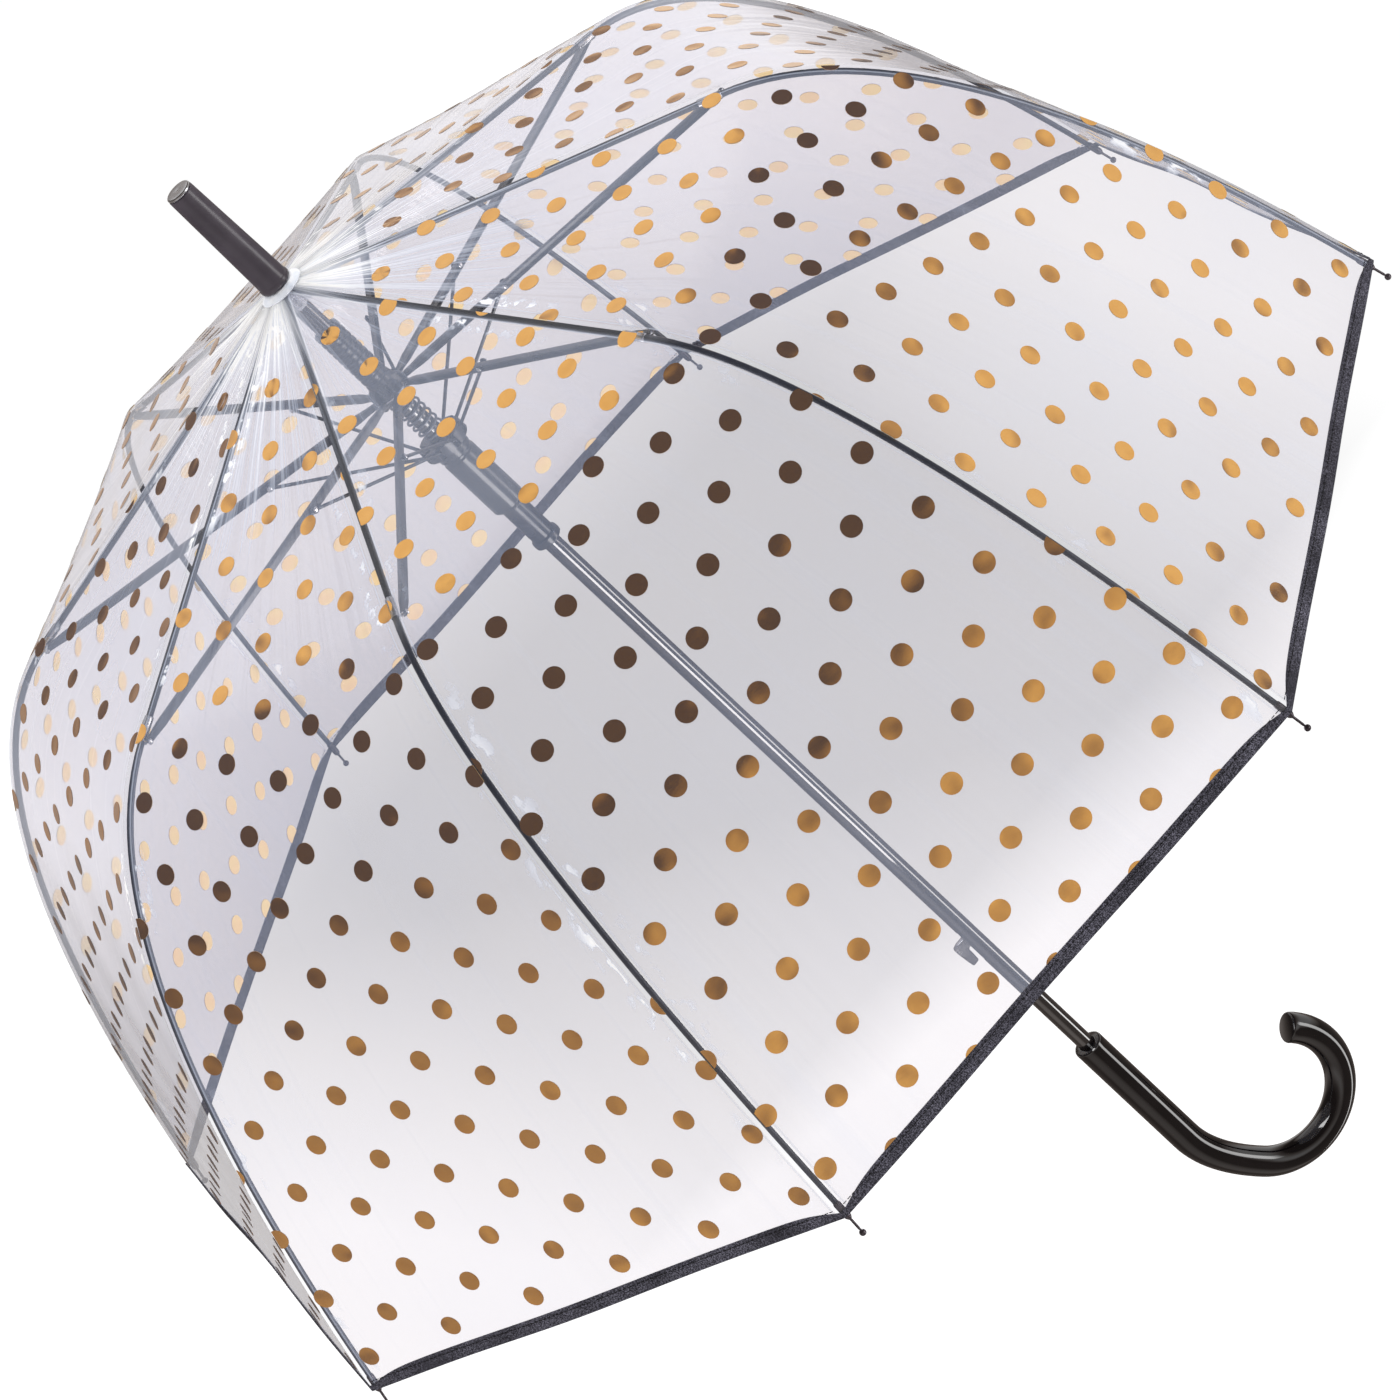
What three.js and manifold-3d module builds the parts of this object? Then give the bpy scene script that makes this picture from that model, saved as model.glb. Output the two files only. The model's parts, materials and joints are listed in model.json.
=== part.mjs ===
// A clear bubble umbrella, open: eight ribs under a deep clear dome, worked by a sprung runner
// on a straight shaft, with a crook handle.
// Millimetres, +Z up along the shaft towards the ferrule. The origin is the middle of the grip,
// on the shaft's centre line, and the crook opens towards +X.

import * as THREE from 'three';
import { mergeVertices } from 'three/addons/utils/BufferGeometryUtils.js';
import Module from 'manifold-3d';

// ---- Driving dimensions ----

const GAP = 0.3;                    // clearance between neighbouring pieces
const RIB_COUNT = 8;
const RIB_TURN = 22.5;              // azimuth of the first rib, degrees

const HEM_Z = 340;                  // plane of the hem
const CANOPY_RADIUS = 420;          // centre line to a hem corner
const CROWN_RADIUS = 12;            // where the ribs' straight stretch starts
const CROWN_Z = HEM_Z + 374.5;      // canopy height there
const RIB_SLOPE = 16.6;             // straight stretch below the horizontal, degrees
const FLEX_RADIUS = 235.5;          // where a rib starts to bend
const SHOULDER_PULL = 88;           // how far the bend keeps to the slope
const SKIRT_PULL = 163;             // how far it keeps to the hem's direction
const HEM_FLARE = 15.6;             // hem's direction off the vertical, degrees

const FILM = 0.5;                   // canopy film
const FILM_HOLE = 8;                // radius of the hole round the shaft
const TAPE = 0.6;                   // hem tape, folded
const TAPE_WIDTH = 9;
const FILM_STEPS = 18;

const RIB_DROP = 3.4;               // rib's centre line below the canopy's outer face
const RIB_RADIUS = 1.75;
const RIB_PIVOT_RADIUS = 11;
const FLEX_GAP = 1.2;               // from a flex point to each of its two rib ends
const TIP_START = 8;                // tip's sleeve above the hem
const TIP_REACH = 11;               // ball's centre beyond the hem
const TIP_RADIUS = 2.1;
const BALL_RADIUS = 3;

const SHAFT_RADIUS = 5;
const SHAFT_BORE = 4.4;
const SHAFT_BOTTOM_Z = 19;

const FERRULE_Z = HEM_Z + 378;
const FERRULE_LENGTH = 71;
const FERRULE_BASE_RADIUS = 9;
const FERRULE_TIP_RADIUS = 7.5;
const FERRULE_SOCKET = 38;

const UPPER_PIVOT_Z = HEM_Z + 293;
const UPPER_PIVOT_RADIUS = 10;
const UPPER_RADIUS = 11.2;
const SLEEVE_RADIUS = 7.5;
const SLEEVE_TOP_Z = HEM_Z + 342;

const RUNNER_PIVOT_Z = HEM_Z + 252.5;
const RUNNER_PIVOT_RADIUS = 8.5;
const RUNNER_RADIUS = 14;
const RUNNER_BODY_RADIUS = 10;
const RUNNER_NECK_RADIUS = 7;
const RUNNER_BODY_Z = HEM_Z + 199;
const RUNNER_NECK_Z = HEM_Z + 174.5;
const COLLAR_RADIUS = 8.3;
const COLLAR_Z = HEM_Z + 169.5;

const STRETCHER_WIDTH = 4.4;
const STRETCHER_DEPTH = 3.4;
const STRETCHER_WALL = 0.8;
const STRETCHER_SIDE = 4.35;        // sideways from the rib's plane
const STRETCHER_DROP = 1.2;         // its outer end below the rib's centre line
const WIRE_RADIUS = 1;
const WIRE_SIDE = 7.9;
const WIRE_SHARE = 0.32;            // where the wire meets the stretcher, from its hub

const CATCH_TOP_Z = HEM_Z - 180;
const CATCH_HEIGHT = 22;
const CATCH_WIDTH = 3;
const CATCH_BACK = 1.3;             // its strip's two faces, from the centre line
const CATCH_FRONT = 4.2;
const CATCH_HEEL = 6.7;             // its boot's two faces
const CATCH_REACH = 13;

const GRIP_RADIUS = 9.2;
const GRIP_TOP_Z = 49;
const CROOK_X = 53.7;               // centre of the crook's arc
const CROOK_Z = -72.6;
const CROOK_RADIUS = 41;
const CROOK_FROM = 215;             // arc's start and end, degrees
const CROOK_TO = 400;

// ---- Materials ----

function finish(color, roughness, metalness) {
  return new THREE.MeshStandardMaterial({ color, roughness, metalness });
}

const clearFilm = finish(0xe6e6ee, 0.08, 0);
const blackTape = finish(0x3d3b44, 0.8, 0);
const blackSteel = finish(0x2a2a2e, 0.35, 0.6);
const blackPlastic = finish(0x232226, 0.25, 0);
const satinPlastic = finish(0x3a3439, 0.45, 0);
const greySteel = finish(0x8c8f96, 0.3, 1);

// ---- Cutting and joining ----

const wasm = await Module();
wasm.setup();

function solidOf(geometry) {
  const bare = geometry.clone();
  bare.deleteAttribute('normal');
  bare.deleteAttribute('uv');
  const merged = mergeVertices(bare, 1e-4);
  const vertProperties = new Float32Array(merged.attributes.position.array);
  const triVerts = new Uint32Array(merged.index.array);
  return new wasm.Manifold(new wasm.Mesh({ numProp: 3, vertProperties, triVerts }));
}

function geometryOf(solid) {
  const mesh = solid.getMesh();
  const geometry = new THREE.BufferGeometry();
  geometry.setAttribute('position', new THREE.BufferAttribute(new Float32Array(mesh.vertProperties), 3));
  geometry.setIndex(new THREE.BufferAttribute(new Uint32Array(mesh.triVerts), 1));
  geometry.computeVertexNormals();
  return geometry;
}

// ---- Shared geometry ----

const radians = THREE.MathUtils.degToRad;

function ribAzimuth(k) {
  return radians(RIB_TURN + (k * 360) / RIB_COUNT);
}

// A solid of revolution about Z, from [radius, height] corners.
function turned(corners, sides = 24, azimuth = 0) {
  const points = corners.map(([r, z]) => new THREE.Vector2(r, z));
  const geometry = new THREE.LatheGeometry(points, sides);
  geometry.rotateX(Math.PI / 2);
  geometry.rotateZ(azimuth + Math.PI / 2);
  return geometry;
}

function ring(inner, outer, low, high, sides = 24) {
  return turned([[inner, low], [outer, low], [outer, high], [inner, high], [inner, low]], sides);
}

// A box that starts at a radius and runs outward, at an azimuth, beside the radial line.
function radialSlot(azimuth, from, side, width, low, high) {
  const reach = 40;
  const box = new THREE.BoxGeometry(reach, width, high - low);
  box.translate(from + reach / 2, side, (low + high) / 2);
  box.rotateZ(azimuth);
  return box;
}

// The canopy's outer line from crown to hem, as [radius, height].
const slope = new THREE.Vector2(Math.cos(radians(RIB_SLOPE)), -Math.sin(radians(RIB_SLOPE)));
const hemDirection = new THREE.Vector2(Math.sin(radians(HEM_FLARE)), -Math.cos(radians(HEM_FLARE)));
const crownPoint = new THREE.Vector2(CROWN_RADIUS, CROWN_Z);
const straightLength = (FLEX_RADIUS - CROWN_RADIUS) / slope.x;
const flexPoint = crownPoint.clone().addScaledVector(slope, straightLength);
const hemPoint = new THREE.Vector2(CANOPY_RADIUS, HEM_Z);
const skirt = new THREE.CubicBezierCurve(
  flexPoint,
  flexPoint.clone().addScaledVector(slope, SHOULDER_PULL),
  hemPoint.clone().addScaledVector(hemDirection, -SKIRT_PULL),
  hemPoint,
);
const skirtLength = skirt.getLength();

// A point that lies a depth under the canopy's outer line, at a share of the skirt's length.
function underSkirt(share, depth) {
  const point = skirt.getPointAt(share);
  const along = skirt.getTangentAt(share);
  return new THREE.Vector2(point.x + along.y * depth, point.y - along.x * depth);
}

function underSlope(radius, depth) {
  const along = (radius - CROWN_RADIUS) / slope.x;
  const point = crownPoint.clone().addScaledVector(slope, along);
  return new THREE.Vector2(point.x + slope.y * depth, point.y - slope.x * depth);
}

// A shell of the dome between two shares of the skirt, or from the crown where from is null.
function domeShell(thickness, from, to) {
  const outer = from === null ? [underSlope(FILM_HOLE, 0)] : [];
  const inner = from === null ? [underSlope(FILM_HOLE, thickness)] : [];
  for (let i = 0; i <= FILM_STEPS; i += 1) {
    const share = (from ?? 0) + ((to - (from ?? 0)) * i) / FILM_STEPS;
    outer.push(underSkirt(share, 0));
    inner.push(underSkirt(share, thickness));
  }
  const outline = [...inner, ...outer.reverse(), inner[0]];
  return turned(outline.map((p) => [p.x, p.y]), RIB_COUNT, radians(RIB_TURN));
}

// Moves a piece made in the plane of a rib, X outward, to that rib's azimuth.
function atRib(geometry, k) {
  return geometry.rotateZ(ribAzimuth(k));
}

// Lays a piece that was made along +Z on the line between two [radius, height] points.
function layAlong(geometry, from, to, side) {
  const angle = Math.atan2(to.x - from.x, to.y - from.y);
  geometry.rotateY(angle);
  geometry.translate(from.x, side, from.y);
  return geometry;
}

const ribPivot = underSlope(RIB_PIVOT_RADIUS, RIB_DROP);
const ribFlex = underSlope(FLEX_RADIUS, RIB_DROP);
const upperPivot = new THREE.Vector2(UPPER_PIVOT_RADIUS, UPPER_PIVOT_Z);
const runnerPivot = new THREE.Vector2(RUNNER_PIVOT_RADIUS, RUNNER_PIVOT_Z);
const stretcherEnd = underSlope(FLEX_RADIUS, RIB_DROP + STRETCHER_DROP);
const wireEnd = upperPivot.clone().lerp(stretcherEnd, WIRE_SHARE);

// ---- Shaft, ferrule and handle ----

function shaftTube() {
  const tube = ring(SHAFT_BORE, SHAFT_RADIUS, SHAFT_BOTTOM_Z, FERRULE_Z + FERRULE_SOCKET - 3, 20);
  const slotHeight = CATCH_HEIGHT + 4;
  const slot = new THREE.BoxGeometry(2 * SHAFT_RADIUS, CATCH_WIDTH + 2 * GAP, slotHeight);
  slot.translate(-SHAFT_RADIUS, 0, CATCH_TOP_Z - CATCH_HEIGHT / 2);
  return geometryOf(solidOf(tube).subtract(solidOf(slot)));
}

function ferrule() {
  const socketTop = FERRULE_Z + FERRULE_SOCKET;
  const tipZ = FERRULE_Z + FERRULE_LENGTH;
  return turned([
    [SHAFT_RADIUS + GAP, FERRULE_Z],
    [FERRULE_BASE_RADIUS, FERRULE_Z],
    [FERRULE_BASE_RADIUS, FERRULE_Z + 5],
    [FERRULE_TIP_RADIUS, tipZ],
    [0, tipZ],
    [0, socketTop],
    [SHAFT_RADIUS + GAP, socketTop],
    [SHAFT_RADIUS + GAP, FERRULE_Z],
  ]);
}

function ferruleCap() {
  const low = FERRULE_Z + FERRULE_LENGTH + GAP;
  const radius = FERRULE_TIP_RADIUS - 0.3;
  return turned([[0, low], [radius, low], [radius, low + 1], [radius - 0.7, low + 1.7], [0, low + 1.7]]);
}

function canopyWasher() {
  const bore = SHAFT_RADIUS + GAP;
  const edge = 13;
  const over = 0.6;
  const under = (r) => underSlope(r, -over).y;
  return turned([
    [bore, under(bore)],
    [edge, under(edge)],
    [edge, under(edge) + 0.6],
    [9.5, FERRULE_Z - GAP],
    [bore, FERRULE_Z - GAP],
    [bore, under(bore)],
  ], RIB_COUNT * 2, radians(RIB_TURN));
}

class CrookLine extends THREE.Curve {
  constructor() {
    super();
    const start = radians(CROOK_FROM);
    const startX = CROOK_X + CROOK_RADIUS * Math.cos(start);
    const startZ = CROOK_Z + CROOK_RADIUS * Math.sin(start);
    const bendZ = startZ + (startX * Math.cos(start)) / Math.sin(start);
    this.outline = new THREE.Path();
    this.outline.moveTo(0, GRIP_TOP_Z);
    this.outline.lineTo(0, bendZ + 24);
    this.outline.quadraticCurveTo(0, bendZ, startX, startZ);
    this.outline.absarc(CROOK_X, CROOK_Z, CROOK_RADIUS, start, radians(CROOK_TO));
  }

  getPoint(share) {
    const p = this.outline.getPoint(share);
    return new THREE.Vector3(p.x, 0, p.y);
  }
}

function handle() {
  const section = new THREE.Shape().absarc(0, 0, GRIP_RADIUS, 0, 2 * Math.PI);
  const settings = { steps: 34, curveSegments: 12, extrudePath: new CrookLine() };
  const body = solidOf(new THREE.ExtrudeGeometry(section, settings));
  const socket = turned([
    [0, SHAFT_BOTTOM_Z - GAP],
    [SHAFT_RADIUS + GAP, SHAFT_BOTTOM_Z - GAP],
    [SHAFT_RADIUS + GAP, GRIP_TOP_Z + 1],
    [0, GRIP_TOP_Z + 1],
  ], 20);
  return geometryOf(body.subtract(solidOf(socket)));
}

// The sprung catch that the closed runner hooks on: a strip inside the shaft, and a boot outside.
function runnerCatch() {
  const bottom = CATCH_TOP_Z - CATCH_HEIGHT;
  const bootTop = CATCH_TOP_Z - 3;
  const bootEnd = bottom + 1.5;
  const neckEnd = CATCH_TOP_Z - 10;
  const outline = new THREE.Shape();
  outline.moveTo(-CATCH_BACK, CATCH_TOP_Z);
  outline.lineTo(-CATCH_FRONT, CATCH_TOP_Z);
  outline.lineTo(-CATCH_FRONT, bootTop);
  outline.lineTo(-CATCH_REACH + 2, bootTop);
  outline.quadraticCurveTo(-CATCH_REACH, bootTop, -CATCH_REACH, bootTop - 4);
  outline.lineTo(-CATCH_REACH + 0.5, bootEnd + 4);
  outline.quadraticCurveTo(-CATCH_REACH + 1, bootEnd, -CATCH_REACH + 4, bootEnd);
  outline.lineTo(-CATCH_HEEL, bootEnd + 1);
  outline.lineTo(-CATCH_HEEL, neckEnd);
  outline.lineTo(-CATCH_FRONT, neckEnd);
  outline.lineTo(-CATCH_FRONT, bottom);
  outline.lineTo(-CATCH_BACK, bottom);
  outline.closePath();
  const geometry = new THREE.ExtrudeGeometry(outline, {
    depth: CATCH_WIDTH,
    bevelEnabled: false,
    curveSegments: 4,
  });
  geometry.rotateX(Math.PI / 2);
  geometry.translate(0, CATCH_WIDTH / 2, 0);
  return geometry;
}

// ---- Hubs ----

// A turned hub with one slot for each rib, stretcher or wire.
function slottedHub(corners, from, side, width, low, high) {
  let hub = solidOf(turned(corners));
  for (let k = 0; k < RIB_COUNT; k += 1) {
    hub = hub.subtract(solidOf(radialSlot(ribAzimuth(k), from, side, width, low, high)));
  }
  return geometryOf(hub);
}

function crown() {
  const bore = SHAFT_RADIUS + GAP;
  const low = ribPivot.y - 9;
  const high = ribPivot.y + 1;
  const corners = [[bore, low], [11, low], [13.5, low + 2], [13.5, high], [bore, high], [bore, low]];
  return slottedHub(corners, 8.3, 0, 2 * RIB_RADIUS + 2 * GAP, low - 1, high + 1);
}

function upperRunner() {
  const bore = SHAFT_RADIUS + GAP;
  const low = UPPER_PIVOT_Z - 4.5;
  const high = UPPER_PIVOT_Z + 4.5;
  const corners = [
    [bore, low],
    [UPPER_RADIUS, low],
    [UPPER_RADIUS, high],
    [SLEEVE_RADIUS, high + 3],
    [SLEEVE_RADIUS, SLEEVE_TOP_Z],
    [bore, SLEEVE_TOP_Z],
    [bore, low],
  ];
  const width = STRETCHER_WIDTH + 2 * GAP;
  return slottedHub(corners, 7, STRETCHER_SIDE, width, low - 1, high + 12);
}

function runner() {
  const bore = SHAFT_RADIUS + 0.5;
  const low = RUNNER_PIVOT_Z - 3.5;
  const high = RUNNER_PIVOT_Z + 3.5;
  const corners = [
    [bore, RUNNER_NECK_Z],
    [RUNNER_NECK_RADIUS, RUNNER_NECK_Z],
    [RUNNER_NECK_RADIUS, RUNNER_BODY_Z],
    [RUNNER_BODY_RADIUS, RUNNER_BODY_Z + 2],
    [RUNNER_BODY_RADIUS, low],
    [RUNNER_RADIUS, low],
    [RUNNER_RADIUS, high],
    [bore, high],
    [bore, RUNNER_NECK_Z],
  ];
  const width = 2 * WIRE_RADIUS + 2.4 * GAP;
  return slottedHub(corners, 6.5, WIRE_SIDE, width, low - 1, high + 1);
}

function runnerCollar() {
  return ring(SHAFT_RADIUS + 0.5, COLLAR_RADIUS, COLLAR_Z, RUNNER_NECK_Z - GAP);
}

// The opening spring between the two hubs, as the sleeve that its turns fill.
function openingSpring() {
  const low = RUNNER_PIVOT_Z + 3.5 + GAP;
  const high = UPPER_PIVOT_Z - 4.5 - GAP;
  return ring(SHAFT_RADIUS + 0.7, SHAFT_RADIUS + 2.5, low, high, 16);
}

// ---- Ribs, stretchers and wires ----

function rod(radius, length) {
  const geometry = new THREE.CylinderGeometry(radius, radius, length, 8);
  geometry.rotateX(Math.PI / 2);
  return geometry.translate(0, 0, length / 2);
}

function rib(k) {
  const length = ribPivot.distanceTo(ribFlex) - FLEX_GAP;
  return atRib(layAlong(rod(RIB_RADIUS, length), ribPivot, ribFlex, 0), k);
}

const tipStartShare = 1 - TIP_START / skirtLength;

class RibEndLine extends THREE.Curve {
  getPoint(share) {
    const first = FLEX_GAP / skirtLength;
    const last = tipStartShare - GAP / skirtLength;
    const p = underSkirt(first + (last - first) * share, RIB_DROP);
    return new THREE.Vector3(p.x, 0, p.y);
  }
}

function ribEnd(k) {
  const section = new THREE.Shape().absarc(0, 0, RIB_RADIUS, 0, 2 * Math.PI);
  const settings = { steps: 14, curveSegments: 3, extrudePath: new RibEndLine() };
  return atRib(new THREE.ExtrudeGeometry(section, settings), k);
}

function ribTip(k) {
  const length = TIP_START + TIP_REACH;
  const corners = [
    [0, 0],
    [TIP_RADIUS, 0],
    [TIP_RADIUS, TIP_START + 2],
    [1.3, TIP_START + 3.5],
    [1.3, length - 2.7],
    [BALL_RADIUS * 0.75, length - 2],
    [BALL_RADIUS, length],
    [BALL_RADIUS * 0.7, length + 2.1],
    [0, length + BALL_RADIUS],
  ];
  const start = underSkirt(tipStartShare, RIB_DROP);
  const end = start.clone().add(hemDirection);
  return atRib(layAlong(turned(corners, 8), start, end, 0), k);
}

function stretcher(k) {
  const half = STRETCHER_WIDTH / 2;
  const inner = half - STRETCHER_WALL;
  const top = STRETCHER_DEPTH / 2;
  const outline = new THREE.Shape([
    new THREE.Vector2(top, -half),
    new THREE.Vector2(top, half),
    new THREE.Vector2(-top, half),
    new THREE.Vector2(-top, inner),
    new THREE.Vector2(top - STRETCHER_WALL, inner),
    new THREE.Vector2(top - STRETCHER_WALL, -inner),
    new THREE.Vector2(-top, -inner),
    new THREE.Vector2(-top, -half),
  ]);
  const length = upperPivot.distanceTo(stretcherEnd);
  const channel = new THREE.ExtrudeGeometry(outline, { depth: length, bevelEnabled: false });
  // Across the channel X is up and the open side is down once it lies along the stretcher.
  channel.rotateZ(Math.PI);
  return atRib(layAlong(channel, upperPivot, stretcherEnd, STRETCHER_SIDE), k);
}

function wire(k) {
  const length = runnerPivot.distanceTo(wireEnd) + 1.5;
  return atRib(layAlong(rod(WIRE_RADIUS, length), runnerPivot, wireEnd, WIRE_SIDE), k);
}

// ---- Canopy ----

const tapeShare = 1 - TAPE_WIDTH / skirtLength;
const film = solidOf(domeShell(FILM, null, tapeShare - GAP / skirtLength));

// The dome's share between two neighbouring ribs.
function gore(k) {
  const reach = 2 * CANOPY_RADIUS;
  const wedge = new THREE.Shape();
  const half = Math.PI / RIB_COUNT;
  wedge.moveTo(0, 0);
  wedge.lineTo(reach * Math.cos(half), -reach * Math.sin(half));
  wedge.lineTo(reach * Math.cos(half), reach * Math.sin(half));
  wedge.closePath();
  const cutter = new THREE.ExtrudeGeometry(wedge, { depth: 2 * CROWN_Z, bevelEnabled: false });
  cutter.translate(GAP / (2 * Math.sin(half)), 0, 0);
  cutter.rotateZ(ribAzimuth(k) + half);
  return geometryOf(film.intersect(solidOf(cutter)));
}

function hemTape() {
  return domeShell(TAPE, tapeShare, 1);
}

// ---- Assembly ----

const umbrella = new THREE.Group();

function add(name, geometry, material) {
  const mesh = new THREE.Mesh(geometry, material);
  mesh.name = name;
  umbrella.add(mesh);
}

add('shaft_tube', shaftTube(), blackSteel);
add('ferrule', ferrule(), satinPlastic);
add('ferrule_cap', ferruleCap(), greySteel);
add('canopy_washer', canopyWasher(), blackPlastic);
add('crown', crown(), blackPlastic);
add('handle', handle(), blackPlastic);
add('runner_catch', runnerCatch(), greySteel);
add('upper_runner', upperRunner(), blackPlastic);
add('opening_spring', openingSpring(), greySteel);
add('runner', runner(), blackPlastic);
add('runner_collar', runnerCollar(), blackPlastic);
add('hem_tape', hemTape(), blackTape);
for (let k = 0; k < RIB_COUNT; k += 1) {
  const number = k + 1;
  add(`rib_${number}`, rib(k), blackSteel);
  add(`rib_end_${number}`, ribEnd(k), greySteel);
  add(`rib_tip_${number}`, ribTip(k), greySteel);
  add(`stretcher_${number}`, stretcher(k), blackSteel);
  add(`wire_${number}`, wire(k), blackSteel);
  add(`gore_${number}`, gore(k), clearFilm);
}

export default umbrella;
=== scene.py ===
import bisect
import json
import math

import bmesh
import bpy
from mathutils import Matrix, Vector


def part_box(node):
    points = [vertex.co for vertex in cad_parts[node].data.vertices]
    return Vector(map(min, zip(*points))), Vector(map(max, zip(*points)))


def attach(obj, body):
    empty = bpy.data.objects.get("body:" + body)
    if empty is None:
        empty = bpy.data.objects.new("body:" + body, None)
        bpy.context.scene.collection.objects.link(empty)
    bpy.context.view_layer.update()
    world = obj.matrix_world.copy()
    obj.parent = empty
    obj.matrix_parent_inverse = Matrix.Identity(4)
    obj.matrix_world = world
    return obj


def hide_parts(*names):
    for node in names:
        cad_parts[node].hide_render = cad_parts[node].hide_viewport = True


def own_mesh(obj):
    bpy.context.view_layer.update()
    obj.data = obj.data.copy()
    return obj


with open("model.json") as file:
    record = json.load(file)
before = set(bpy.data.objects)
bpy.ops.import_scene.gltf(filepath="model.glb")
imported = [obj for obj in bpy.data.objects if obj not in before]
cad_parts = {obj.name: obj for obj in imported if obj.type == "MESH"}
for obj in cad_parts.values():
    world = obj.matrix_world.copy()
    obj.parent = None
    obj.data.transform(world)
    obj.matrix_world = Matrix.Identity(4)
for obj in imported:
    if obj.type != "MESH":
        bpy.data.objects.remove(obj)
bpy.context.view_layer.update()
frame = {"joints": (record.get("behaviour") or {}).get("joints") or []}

bpy.context.scene.view_settings.view_transform = "Standard"
bpy.context.scene.cycles.transparent_max_bounces = 32

# ---- Sizes, in metres and degrees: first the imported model's ----

RIBS = 8
HALF = math.pi / RIBS               # half of the angle between two ribs
FIRST_RIB = math.radians(22.5)
HEM_Z = 0.340
HEM_RADIUS = 0.420
CROWN_RADIUS = 0.012
CROWN_Z = HEM_Z + 0.3745
SLOPE = math.radians(16.6)
FLEX_RADIUS = 0.2355
SHOULDER_PULL = 0.088
SKIRT_PULL = 0.163
HEM_FLARE = math.radians(15.6)
FILM_HOLE = 0.008
RIB_DROP = 0.0034
RIB_RADIUS = 0.00175
FERRULE_Z = HEM_Z + 0.378           # its lower end
FERRULE_LENGTH = 0.071
STRETCHER_SIDE = 0.00435
STRETCHER_DROP = 0.0012             # its outer end below the rib's axis
WIRE_SIDE = 0.0079
WIRE_SHARE = 0.32
SHAFT_RADIUS = 0.005
SHAFT_BORE = 0.0044
SHAFT_LOW_Z = 0.019

joint_at = {joint["name"]: joint["pos_m"] for joint in frame["joints"]}
RUNNER_PIVOT_Z = joint_at["wire_1_fold"][2]
UPPER_PIVOT_Z = joint_at["stretcher_1_fold"][2]
RIB_PIVOT_Z = joint_at["rib_1_fold"][2]
RIB_PIVOT = Vector((0.011, 0, RIB_PIVOT_Z))
RIB_FLEX = Vector((math.hypot(*joint_at["rib_1_flex"][:2]), 0, joint_at["rib_1_flex"][2]))
UPPER_PIVOT = Vector((0.010, STRETCHER_SIDE, UPPER_PIVOT_Z))
RUNNER_PIVOT = Vector((0.0085, WIRE_SIDE, RUNNER_PIVOT_Z))

# ---- Sizes of the looks only ----

STRAIGHT_STEPS = 40                 # of the canopy's line, from the crown to the flex hinge
CURVE_STEPS = 300                   # and from there to the hem
FILM_SAG = 0.0018
GRIP_RADIUS = 0.0091
SHAFT_TOP_Z = FERRULE_Z + 0.034
TAPE_WIDTH = 0.0078
TAPE_HALF = 0.0004                  # half of its thickness
THREAD_PITCH = 0.0009
STITCH_PITCH = 0.0030
STITCH_LENGTH = 0.0021
DOT_RADIUS = 0.0056
DOT_ACROSS = 0.0585
DOT_ALONG = 0.0394
DOT_FIRST = 0.0532                  # the first row's distance from the film's hole
DOT_ROWS = 32
DOT_COLUMNS = 4                     # on each side of a gore's middle
DOT_CROWN = 0.012                   # no dot is printed nearer to the film's hole than this
DOT_LEAST = 2e-6                    # the smallest piece of a cut dot that is kept, in square metres
NEAR_GORE = 5                       # the one that faces the camera, counted from 0
DOT_SHIFT = -0.0036                 # of the pattern from the near gore's middle
DOT_DRIFT = -0.0026                 # more of it with each gore
DOT_DROP = 0.0046                   # of the pattern towards the hem with each gore
FILM_HAZE = 0.235
COLLAR = (0.016, 0.058)             # from the shaft: where the glare round the crown fades out
FAN = (0.020, 0.150)                # and the fan of streaks below it
OVER_RIB = (0.0026, 0.0038)         # from a rib: where the film over it ends, which has less haze as painted shade of the rib
# from a rib: where the painted highlights lie, on the lip of the seam and on the creases beside it
LIP_HIGHLIGHT = (0.0036, 0.0040, 0.0044, 0.0050)
CREASE_GLINTS = (0.0050, 0.0060, 0.0080, 0.0150)
FLOOR_Z = -1.4
FLOOR_HALF = 40.0
BACKDROP = 1.2                      # its brightest, where white is 1
CARD_X = (-0.05, 0.03)
CARD_Y = -0.18
CARD_Z = (0.10, 0.60)
CARD_GLOW = 8.0
STRIP_GLOW = 5.0

UPWARD = Vector((0, 0, 1))
SIDEWAYS = Vector((0, 1, 0))


# ---- Mesh tools ----

def add_object(name, data):
    made = bpy.data.objects.new(name, data)
    bpy.context.scene.collection.objects.link(made)
    return made


def mesh_of(name, verts, faces):
    mesh = bpy.data.meshes.new(name)
    mesh.from_pydata([tuple(v) for v in verts], [], faces)
    return mesh


def make(name, made, material, body, uvs=None):
    """A smooth piece from vertices and faces, which goes with a body and takes a material."""
    mesh = mesh_of(name, *made)
    if uvs is not None:
        layer = mesh.uv_layers.new(name="UVMap")
        for loop in mesh.loops:
            layer.data[loop.index].uv = uvs[loop.vertex_index]
    obj = add_object(name, mesh)
    mesh.materials.append(material)
    mesh.shade_smooth()
    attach(obj, body)
    return obj


def mark_sharp(obj, is_sharp):
    """Marks the edges that smooth shading has to keep."""
    work = bmesh.new()
    work.from_mesh(obj.data)
    for edge in work.edges:
        edge.smooth = not is_sharp(edge)
    work.to_mesh(obj.data)
    work.free()
    return obj


def sharpen(obj, degrees):
    """Keeps the edges that turn by this much or more."""
    least = math.radians(degrees)
    return mark_sharp(obj, lambda edge: len(edge.link_faces) == 2 and edge.calc_face_angle() >= least)


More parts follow.
